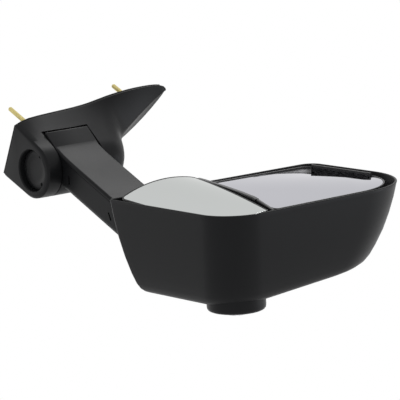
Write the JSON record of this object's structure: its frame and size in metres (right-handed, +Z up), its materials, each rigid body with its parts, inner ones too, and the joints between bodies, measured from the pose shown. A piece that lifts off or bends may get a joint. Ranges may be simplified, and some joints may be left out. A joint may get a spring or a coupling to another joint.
{
  "type": "towing mirror",
  "caption": "Door-mounted towing mirror: folding arm on a triangular base, deep hooded head with a flat glass over a convex glass, and a clear lamp on its front.",
  "frame": {"origin": "on the door face, level with the middle of the arm and with the fold pivot", "axes": "+X out from the door, +Y forward on the truck, +Z up"},
  "size_m": [0.4898, 0.2004, 0.332],
  "materials": {
    "textured_cover": "grained black moulding",
    "trim_plastic": "smooth satin black",
    "frame_plastic": "glass-filled black",
    "die_cast": "as cast",
    "plain_steel": "zinc plated",
    "yellow_zinc": "yellow zinc plated",
    "foam_gasket": "closed-cell foam",
    "soft_rubber": "moulded",
    "bush_plastic": "acetal",
    "circuit_board": "solder mask",
    "lamp_lens": "clear moulded",
    "heater_film": "printed film",
    "flat_mirror": "flat reflector",
    "spot_mirror": "convex reflector"
  },
  "bodies": {
    "base": {"base_bracket": "die_cast", "flag_cover": "textured_cover", "door_gasket": "foam_gasket", "door_studs": "yellow_zinc", "pivot_cap": "textured_cover", "pivot_post": "plain_steel", "disc_springs": "plain_steel", "pivot_nut": "plain_steel", "detent_ring": "plain_steel", "cover_screws": "plain_steel", "wire_grommet": "soft_rubber"},
    "arm_and_head": {"arm_core": "die_cast", "arm_rear_cover": "textured_cover", "arm_front_cover": "textured_cover", "arm_screws": "plain_steel", "pivot_bushes": "bush_plastic", "head_shell": "textured_cover", "head_frame": "frame_plastic", "frame_screws": "plain_steel", "glass_divider": "trim_plastic", "lamp_housing": "textured_cover", "lamp_board": "circuit_board", "lamp_lens": "lamp_lens", "actuator_body": "frame_plastic", "actuator_cover": "frame_plastic", "tilt_motors": "plain_steel", "spot_mount": "frame_plastic"},
    "flat_tilt": {"tilt_ring": "frame_plastic"},
    "flat_mirror": {"glass_holder": "trim_plastic", "heater_pad": "heater_film", "flat_glass": "flat_mirror"},
    "spot_tilt": {"spot_tilt_ring": "frame_plastic"},
    "spot_mirror": {"spot_holder": "trim_plastic", "spot_glass": "spot_mirror"}
  },
  "joints": [
    {"name": "arm_fold", "type": "hinge", "parent": "base", "child": "arm_and_head", "pos_m": [0.0535, 0, 0], "axis": [0, 0, 1], "range_deg": [-60, 60]},
    {"name": "flat_up_down", "type": "hinge", "parent": "arm_and_head", "child": "flat_tilt", "pos_m": [0.32348, -0.0836, 0.15025], "axis": [0.9063, -0.4226, 0], "range_deg": [-6, 6]},
    {"name": "flat_in_out", "type": "hinge", "parent": "flat_tilt", "child": "flat_mirror", "pos_m": [0.32348, -0.0836, 0.15025], "axis": [0, 0, 1], "range_deg": [-6, 6]},
    {"name": "spot_up_down", "type": "hinge", "parent": "arm_and_head", "child": "spot_tilt", "pos_m": [0.32496, -0.08043, -0.01], "axis": [0.9063, -0.4226, 0], "range_deg": [-4, 4]},
    {"name": "spot_in_out", "type": "hinge", "parent": "spot_tilt", "child": "spot_mirror", "pos_m": [0.32496, -0.08043, -0.01], "axis": [0, 0, 1], "range_deg": [-4, 4]}
  ]
}
